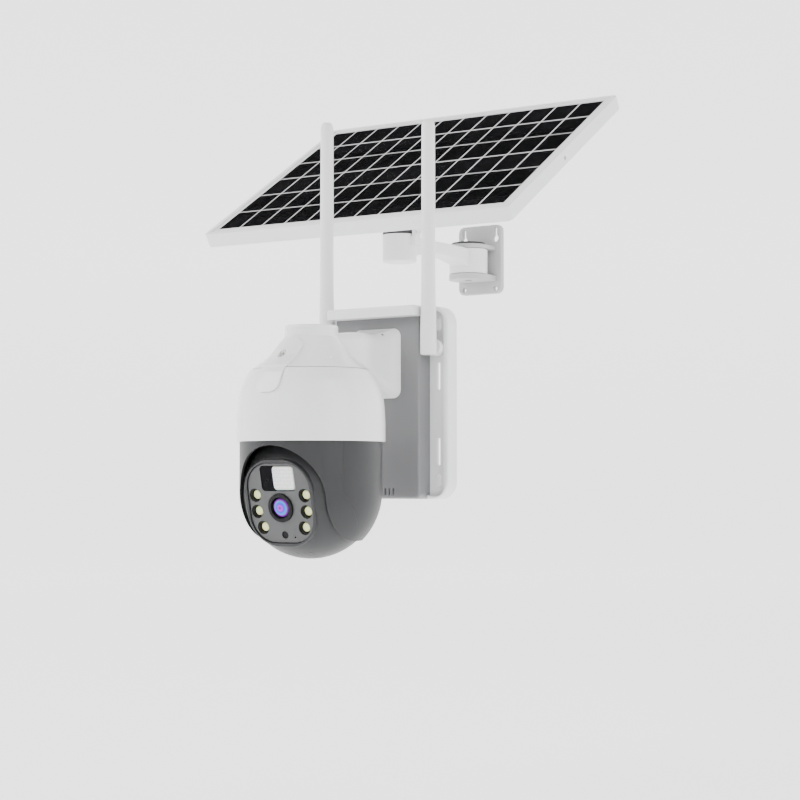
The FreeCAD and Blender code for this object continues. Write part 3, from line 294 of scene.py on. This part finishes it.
def lamp_lens():
    # Clear cap over a yellow phosphor, with a painted sheen: paler at the rim, warmer in the middle, by
    # viewing angle
    m, t, p = new_material("lamp_lens")
    facing = add(t, "ShaderNodeLayerWeight", [("Blend", 0.35)]).outputs["Facing"]
    # Painted sheen: the colour turns paler where the cap is seen edge-on.
    mix = add(t, "ShaderNodeMix", [(0, facing), (6, (0.90, 0.93, 0.40, 1)), (7, (0.75, 0.80, 0.48, 1))],
              data_type="RGBA")
    t.links.new(mix.outputs[2], p.inputs["Base Color"])
    fine = add(t, "ShaderNodeTexVoronoi", [("Scale", 900.0)])
    bump = add(t, "ShaderNodeBump", [("Strength", 0.12), ("Distance", 0.0003),
                                     ("Height", fine.outputs["Distance"])])
    t.links.new(bump.outputs[0], p.inputs["Normal"])
    p.inputs["Roughness"].default_value = 0.14
    p.inputs["Coat Weight"].default_value = 0.8
    p.inputs["Subsurface Weight"].default_value = 0.3
    p.inputs["Subsurface Scale"].default_value = 0.002
    return m


finish_cad(lamp_lens(), "lamp_yellow", "led_lamps")


def coated_lens():
    # Painted reflection: the anti-reflection coating's reflections painted into the colour as rings of
    # violet, blue and cyan over a dark barrel
    m, t, p = new_material("coated_lens")
    c = unit_coords(t)
    x = c.outputs["X"]
    z = calc(t, "ADD", c.outputs["Z"], 0.0035)
    radius = calc(t, "SQRT", calc(t, "ADD", calc(t, "MULTIPLY", x, x), calc(t, "MULTIPLY", z, z)))
    ramp = add(t, "ShaderNodeValToRGB", [("Fac", calc(t, "DIVIDE", radius, 0.008))])
    r = ramp.color_ramp
    r.elements[0].position, r.elements[0].color = 0.0, (0.02, 0.01, 0.16, 1)
    r.elements[1].position, r.elements[1].color = 1.0, (0.005, 0.005, 0.008, 1)
    # Painted reflection rings of the coating, also used to tint the specular.
    rings = ((0.22, (0.50, 0.03, 0.72, 1)), (0.42, (0.04, 0.03, 0.75, 1)), (0.60, (0.01, 0.32, 0.75, 1)),
             (0.74, (0.28, 0.02, 0.50, 1)), (0.9, (0.006, 0.006, 0.02, 1)))
    for pos, colour in rings:
        e = r.elements.new(pos)
        e.color = colour
    t.links.new(ramp.outputs[0], p.inputs["Base Color"])
    t.links.new(ramp.outputs[0], p.inputs["Specular Tint"])
    p.inputs["Roughness"].default_value = 0.03
    p.inputs["Specular IOR Level"].default_value = 0.35
    p.inputs["Coat Weight"].default_value = 0.15
    p.inputs["Coat Roughness"].default_value = 0.01
    return m


finish_cad(coated_lens(), "lens_glass", "lens_glass")


def motion_lens():
    # Milky polyethylene with moulded rows of small lenses, with painted shade in the grooves between them
    m, t, p = new_material("motion_lens")
    c = unit_coords(t)
    place = add(t, "ShaderNodeCombineXYZ", [("X", c.outputs["X"]), ("Y", c.outputs["Z"])])
    rows = add(t, "ShaderNodeTexBrick", [("Vector", place.outputs[0]), ("Scale", 90.0), ("Mortar Size", 0.03),
                                          ("Mortar Smooth", 1.0), ("Color1", (1, 1, 1, 1)),
                                          ("Color2", (1, 1, 1, 1)), ("Mortar", (0, 0, 0, 1))])
    bump = add(t, "ShaderNodeBump", [("Strength", 0.5), ("Distance", 0.0004),
                                     ("Height", rows.outputs["Color"])])
    t.links.new(bump.outputs[0], p.inputs["Normal"])
    # Painted shade: the grooves between the small lenses are coloured darker.
    tint = add(t, "ShaderNodeMix", [(0, rows.outputs["Fac"]), (6, (0.84, 0.84, 0.81, 1)),
                                    (7, (0.66, 0.66, 0.64, 1))], data_type="RGBA")
    t.links.new(tint.outputs[2], p.inputs["Base Color"])
    p.inputs["Roughness"].default_value = 0.36
    p.inputs["Subsurface Weight"].default_value = 0.35
    p.inputs["Subsurface Scale"].default_value = 0.003
    return m


finish_cad(motion_lens(), "pir_white", "pir_lens")

# ---------------------------------------------------------------- panel bracket
# Cast aluminium arm in white powder coat on a wall plate coloured light grey as painted shade of its
# front face, with a black nylon fork and a steel bolt. The coat has a slight orange peel.
powder = moulded("white_powder_coat", (0.80, 0.80, 0.80), 0.36, 700, 0.06, 0.03)
finish_cad(powder, "bracket_white", "panel_arm", "lock_screw", "mount_plate")
# Painted shade: the wall plate's light grey stands for the shade on its front face.
shaded_plate_coat = moulded("painted_shade_powder_coat", (0.45, 0.45, 0.455), 0.42, 700, 0.06, 0.03)
finish_cad(shaded_plate_coat, "bracket_white", "wall_plate")
finish_cad(black_nylon, "black_plastic", "swivel_pin", "tilt_fork", "junction_box", "cable_gland")

# ---------------------------------------------------------------- solar panel
# White coated frame round a laminate: white backsheet, dark silicon cells in columns with thin
# pale gaps between the rows, and a clear face film.
panel_at = Vector((-0.09956, 0.17530, 0.2196))
panel_turn = Euler((math.radians(32.0), 0.0, math.radians(2.6)))


def silicon():
    m, t, p = new_material("silicon_cells")
    at = add(t, "ShaderNodeTexCoord").outputs["Object"]
    m2 = add(t, "ShaderNodeMapping", [("Vector", at), ("Location", panel_at), ("Rotation", panel_turn)],
             vector_type="TEXTURE")
    c = add(t, "ShaderNodeSeparateXYZ", [(0, m2.outputs[0])])
    place = calc(t, "FRACT", calc(t, "ADD", calc(t, "DIVIDE", c.outputs["Y"], 0.038), 20.5))
    gap = calc(t, "LESS_THAN", calc(t, "ABSOLUTE", calc(t, "SUBTRACT", place, 0.5)), 0.03)
    tone = add(t, "ShaderNodeTexNoise", [("Vector", m2.outputs[0]), ("Scale", 35.0), ("Detail", 4.0)])
    ramp = add(t, "ShaderNodeMix", [(0, tone.outputs["Fac"]), (6, (0.007, 0.007, 0.0075, 1)),
                                    (7, (0.010, 0.010, 0.011, 1))], data_type="RGBA")
    lines = add(t, "ShaderNodeMix", [(0, gap), (6, ramp.outputs[2]), (7, (0.62, 0.62, 0.62, 1))],
                data_type="RGBA")
    t.links.new(lines.outputs[2], p.inputs["Base Color"])
    p.inputs["Roughness"].default_value = 0.4
    p.inputs["Specular IOR Level"].default_value = 0.0
    return m


def face_film():
    # Thin clear film: mostly lets the cells through, with a soft sheen
    m, t, p = new_material("face_film")
    clear = t.nodes.new("ShaderNodeBsdfTransparent")
    gloss = add(t, "ShaderNodeBsdfGlossy", [("Roughness", 0.22)])
    fres = add(t, "ShaderNodeFresnel", [("IOR", 1.35)])
    noise = add(t, "ShaderNodeTexNoise", [("Scale", 600.0)])
    bump = add(t, "ShaderNodeBump", [("Strength", 0.04), ("Distance", 0.0003),
                                     ("Height", noise.outputs["Fac"])])
    t.links.new(bump.outputs[0], gloss.inputs["Normal"])
    outer = calc(t, "SUBTRACT", 1.0, add(t, "ShaderNodeNewGeometry").outputs["Backfacing"])
    sheen = calc(t, "MINIMUM", calc(t, "MULTIPLY", fres.outputs[0], 0.05), 0.002)
    mix = add(t, "ShaderNodeMixShader", [(0, calc(t, "MULTIPLY", sheen, outer)), (1, clear.outputs[0]),
                                         (2, gloss.outputs[0])])
    out = next(n for n in t.nodes if n.type == "OUTPUT_MATERIAL")
    t.nodes.remove(p)
    t.links.new(mix.outputs[0], out.inputs["Surface"])
    return m


frame_coat = moulded("panel_frame_coat", (0.82, 0.825, 0.83), 0.34, 900, 0.04, 0.02)
sheet = moulded("white_backsheet", (0.80, 0.80, 0.80), 0.5, 1200, 0.03, 0.02)
finish_cad(frame_coat, "panel_white", "panel_frame", "panel_back")
finish_cad(sheet, "backsheet_white", "panel_backsheet")
finish_cad(silicon(), "solar_cell", "solar_cells")
finish_cad(face_film(), "panel_film", "panel_glass")

# ---------------------------------------------------------------- stage, light and camera
# A pale seamless floor and cove a little below the head, three soft boxes and a long lens looking
# slightly up.


def sweep():
    # Floor and cove turned round the upright axis, so it closes behind the object from every side
    mesh = bpy.data.meshes.new("sweep")
    profile = [(0.001, -0.30), (3.1, -0.30)]
    for k in range(1, 13):
        a = math.radians(90.0 * k / 12)
        profile.append((3.1 + 0.9 * math.sin(a), 0.6 - 0.9 * math.cos(a)))
    profile.append((4.0, 4.5))
    verts, faces = [], []
    for k in range(72):
        a = math.radians(5.0 * k)
        verts += [(r * math.cos(a), r * math.sin(a), z) for r, z in profile]
        for n in range(len(profile) - 1):
            a0, b0 = k * len(profile) + n, ((k + 1) % 72) * len(profile) + n
            faces.append((a0, b0, b0 + 1, a0 + 1))
    mesh.from_pydata(verts, [], faces)
    for poly in mesh.polygons:
        poly.use_smooth = True
    o = bpy.data.objects.new("sweep", mesh)
    bpy.context.scene.collection.objects.link(o)
    m, t, p = new_material("sweep_paper")
    grain = add(t, "ShaderNodeTexNoise", [("Scale", 3.0), ("Detail", 2.0)])
    tint = add(t, "ShaderNodeMix", [(0, grain.outputs["Fac"]), (6, (0.93, 0.93, 0.93, 1)),
                                    (7, (0.95, 0.95, 0.95, 1))], data_type="RGBA")
    t.links.new(tint.outputs[2], p.inputs["Base Color"])
    p.inputs["Roughness"].default_value = 0.9
    p.inputs["Emission Color"].default_value = (1, 1, 1, 1)
    # The half behind the object glows a little, fading out towards the front
    place = add(t, "ShaderNodeTexCoord").outputs["Object"]
    back = add(t, "ShaderNodeSeparateXYZ", [(0, place)]).outputs["Y"]
    glow = add(t, "ShaderNodeMapRange", [("Value", back), ("From Min", -1.6), ("From Max", -0.2),
                                         ("To Min", 0.1), ("To Max", 1.0)])
    t.links.new(glow.outputs[0], p.inputs["Emission Strength"])
    mesh.materials.append(m)
    o.rotation_euler = (0, 0, math.radians(35.0))
    return o


def soft_box(name, place, target, size, watts):
    data = bpy.data.lights.new(name, "AREA")
    data.shape = "RECTANGLE"
    data.size, data.size_y = size
    data.energy = watts
    o = bpy.data.objects.new(name, data)
    o.location = place
    o.rotation_euler = (Vector(target) - Vector(place)).to_track_quat("-Z", "Y").to_euler()
    bpy.context.scene.collection.objects.link(o)
    return o


middle = (-0.05, 0.0, 0.05)
sweep()
soft_box("key_box", (-1.3, -1.5, 1.5), middle, (1.6, 1.6), 36.0)
soft_box("side_box", (1.7, -0.5, 0.7), middle, (1.2, 1.6), 10.0)
soft_box("top_box", (0.0, 0.1, 2.3), middle, (2.0, 2.0), 12.0)
world = bpy.data.worlds.new("studio")
bpy.context.scene.world = world
world.use_nodes = True
world.node_tree.nodes["Background"].inputs[0].default_value = (1, 1, 1, 1)
world.node_tree.nodes["Background"].inputs[1].default_value = 0.35

view = bpy.data.cameras.new("view")
view.sensor_width = 36.0
view.lens = 81.0
view.clip_start, view.clip_end = 0.05, 30.0
eye = bpy.data.objects.new("view", view)
eye.location = (0.8413, -1.1931, -0.0613)
eye.rotation_euler = (math.radians(90.0 + 2.545), 0.0, math.radians(35.0))
bpy.context.scene.collection.objects.link(eye)
bpy.context.scene.camera = eye
